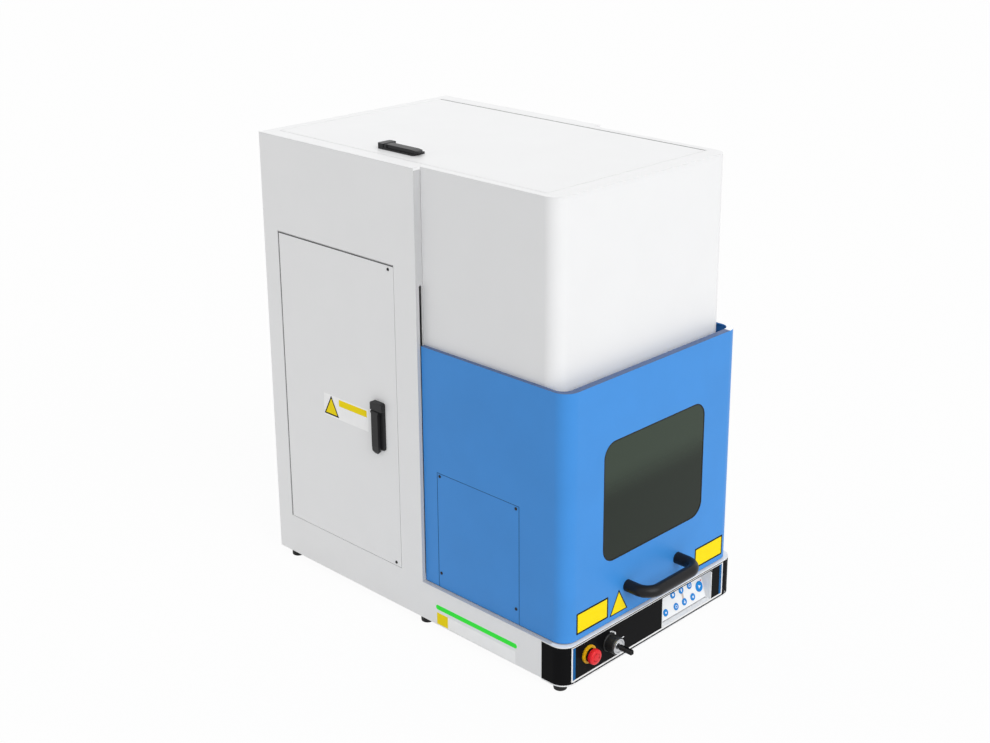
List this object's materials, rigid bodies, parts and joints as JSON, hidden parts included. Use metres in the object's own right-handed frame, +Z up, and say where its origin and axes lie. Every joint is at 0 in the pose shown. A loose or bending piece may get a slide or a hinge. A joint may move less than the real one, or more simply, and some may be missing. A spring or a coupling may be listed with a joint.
{
  "type": "fiber laser marking machine",
  "caption": "Enclosed desktop laser marking machine: a hood with a window slides up over a work table and marking head, with a service door, a top lid, a keypad and a stop button.",
  "frame": {"origin": "on the floor, at the centre of the footprint, with the handle counted in", "axes": "+X to the machine's right as seen from the front, +Y to its rear, +Z up"},
  "size_m": [0.4453, 0.754, 0.7953],
  "materials": {
    "grey_sheet": "fine powder coat",
    "white_sheet": "fine powder coat",
    "blue_sheet": "satin powder coat",
    "black_panel": "satin film",
    "blue_strip": "dotted light strip",
    "white_plastic": "satin",
    "blue_plastic": "satin",
    "yellow_plastic": "satin",
    "red_plastic": "satin",
    "dark_plastic": "fine texture",
    "rubber": "matt",
    "steel": "bright zinc",
    "alloy": "clear anodised",
    "black_alloy": "black anodised",
    "brass_tube": "satin",
    "circuit_board": "board green",
    "tinted_pane": "smoked laser-safe acrylic"
  },
  "bodies": {
    "cabinet": {"base_tray": "grey_sheet", "feet": "rubber", "base_deck": "white_sheet", "side_panel_left": "grey_sheet", "side_panel_right": "grey_sheet", "rear_panel": "grey_sheet", "divider_wall": "grey_sheet", "upper_housing": "white_sheet", "top_frame": "white_sheet", "hinges": "steel", "fascia": "black_panel", "corner_wraps": "black_panel", "light_strips": "blue_strip", "control_recess": "white_plastic", "keypad_plate": "white_plastic", "estop_collar": "yellow_plastic", "key_switch": "dark_plastic", "lift_cylinders": "black_alloy", "hood_rails": "steel", "work_table": "alloy", "z_column": "alloy", "z_motor": "black_alloy", "laser_source": "black_alloy", "power_supplies": "alloy", "control_board": "circuit_board", "power_inlet": "dark_plastic", "fan_housing": "dark_plastic"},
    "estop_push": {"estop_plunger": "dark_plastic"},
    "estop_head": {"estop_button": "red_plastic"},
    "key_cylinder": {"key_barrel": "steel", "key": "dark_plastic"},
    "door": {"side_door": "grey_sheet", "door_latch_case": "dark_plastic"},
    "door_lever": {"door_latch_lever": "dark_plastic"},
    "door_bolt": {"door_latch_bolt": "steel"},
    "lid": {"top_lid": "white_sheet", "lid_latch_case": "dark_plastic"},
    "lid_lever": {"lid_latch_lever": "dark_plastic"},
    "lid_bolt": {"lid_latch_bolt": "steel"},
    "hood": {"hood_shell": "blue_sheet", "window": "tinted_pane", "window_seal": "rubber", "handle": "black_alloy", "pass_panels": "blue_sheet", "hood_brackets": "steel", "lift_rods": "steel"},
    "z_stage": {"z_carriage": "alloy", "scan_head": "black_alloy", "scan_lens": "black_alloy", "collimator": "brass_tube"},
    "screw": {"lead_screw": "steel"},
    "fan": {"fan_rotor": "dark_plastic"},
    "button_1": {"key_1": "blue_plastic"},
    "button_2": {"key_2": "blue_plastic"},
    "button_3": {"key_3": "blue_plastic"},
    "button_4": {"key_4": "blue_plastic"},
    "button_5": {"key_5": "blue_plastic"},
    "button_6": {"key_6": "blue_plastic"},
    "button_7": {"key_7": "blue_plastic"},
    "button_8": {"key_8": "blue_plastic"}
  },
  "joints": [
    {"name": "hood_lift", "type": "slide", "parent": "cabinet", "child": "hood", "axis": [0, 0, 1], "range_m": [0, 0.29]},
    {"name": "z_travel", "type": "slide", "parent": "cabinet", "child": "z_stage", "axis": [0, 0, 1], "range_m": [-0.1, 0.06]},
    {"name": "screw_turn", "type": "hinge", "parent": "cabinet", "child": "screw", "pos_m": [0, -0.032, 0.55], "axis": [0, 0, 1], "range_deg": [-7201, 4321]},
    {"name": "door_swing", "type": "hinge", "parent": "cabinet", "child": "door", "pos_m": [-0.212, 0.331, 0.3525], "axis": [0, 0, -1], "range_deg": [0, 100]},
    {"name": "door_latch_lift", "type": "hinge", "parent": "door", "child": "door_lever", "pos_m": [-0.2243, 0.088, 0.3575], "axis": [0, 1, 0], "range_deg": [0, 40]},
    {"name": "door_bolt_slide", "type": "slide", "parent": "door", "child": "door_bolt", "axis": [0, 1, 0], "range_m": [0, 0.0081]},
    {"name": "lid_swing", "type": "hinge", "parent": "cabinet", "child": "lid", "pos_m": [0.181, 0.05, 0.78], "axis": [0, 1, 0], "range_deg": [0, 100]},
    {"name": "lid_latch_lift", "type": "hinge", "parent": "lid", "child": "lid_lever", "pos_m": [-0.15, 0.1175, 0.7923], "axis": [-1, 0, 0], "range_deg": [0, 40]},
    {"name": "lid_bolt_slide", "type": "slide", "parent": "lid", "child": "lid_bolt", "axis": [1, 0, 0], "range_m": [0, 0.0081]},
    {"name": "estop_press", "type": "slide", "parent": "cabinet", "child": "estop_push", "axis": [0, 1, 0], "range_m": [0, 0.004], "stiffness_N_per_m": 2000},
    {"name": "estop_twist", "type": "hinge", "parent": "estop_push", "child": "estop_head", "pos_m": [-0.161, -0.34, 0.05], "axis": [0, 1, 0], "range_deg": [0, 45], "stiffness_Nm_per_rad": 0.05},
    {"name": "key_turn", "type": "hinge", "parent": "cabinet", "child": "key_cylinder", "pos_m": [-0.112, -0.34, 0.05], "axis": [0, 1, 0], "range_deg": [0, 90]},
    {"name": "fan_spin", "type": "hinge", "parent": "cabinet", "child": "fan", "pos_m": [0.09, 0.36, 0.62], "axis": [0, 1, 0], "continuous": true},
    {"name": "button_1_press", "type": "slide", "parent": "cabinet", "child": "button_1", "axis": [0, 0.9455, -0.3256], "range_m": [0, 0.0006], "stiffness_N_per_m": 400},
    {"name": "button_2_press", "type": "slide", "parent": "cabinet", "child": "button_2", "axis": [0, 0.9455, -0.3256], "range_m": [0, 0.0006], "stiffness_N_per_m": 400},
    {"name": "button_3_press", "type": "slide", "parent": "cabinet", "child": "button_3", "axis": [0, 0.9455, -0.3256], "range_m": [0, 0.0006], "stiffness_N_per_m": 400},
    {"name": "button_4_press", "type": "slide", "parent": "cabinet", "child": "button_4", "axis": [0, 0.9455, -0.3256], "range_m": [0, 0.0006], "stiffness_N_per_m": 400},
    {"name": "button_5_press", "type": "slide", "parent": "cabinet", "child": "button_5", "axis": [0, 0.9455, -0.3256], "range_m": [0, 0.0006], "stiffness_N_per_m": 400},
    {"name": "button_6_press", "type": "slide", "parent": "cabinet", "child": "button_6", "axis": [0, 0.9455, -0.3256], "range_m": [0, 0.0006], "stiffness_N_per_m": 400},
    {"name": "button_7_press", "type": "slide", "parent": "cabinet", "child": "button_7", "axis": [0, 0.9455, -0.3256], "range_m": [0, 0.0006], "stiffness_N_per_m": 400},
    {"name": "button_8_press", "type": "slide", "parent": "cabinet", "child": "button_8", "axis": [0, 0.9455, -0.3256], "range_m": [0, 0.0006], "stiffness_N_per_m": 400}
  ],
  "couplings": [
    {"joint": "screw_turn", "follows": "z_travel", "rad_per_m": 1256.6},
    {"joint": "door_bolt_slide", "follows": "door_latch_lift", "m_per_rad": 0.0114},
    {"joint": "lid_bolt_slide", "follows": "lid_latch_lift", "m_per_rad": 0.0114}
  ]
}
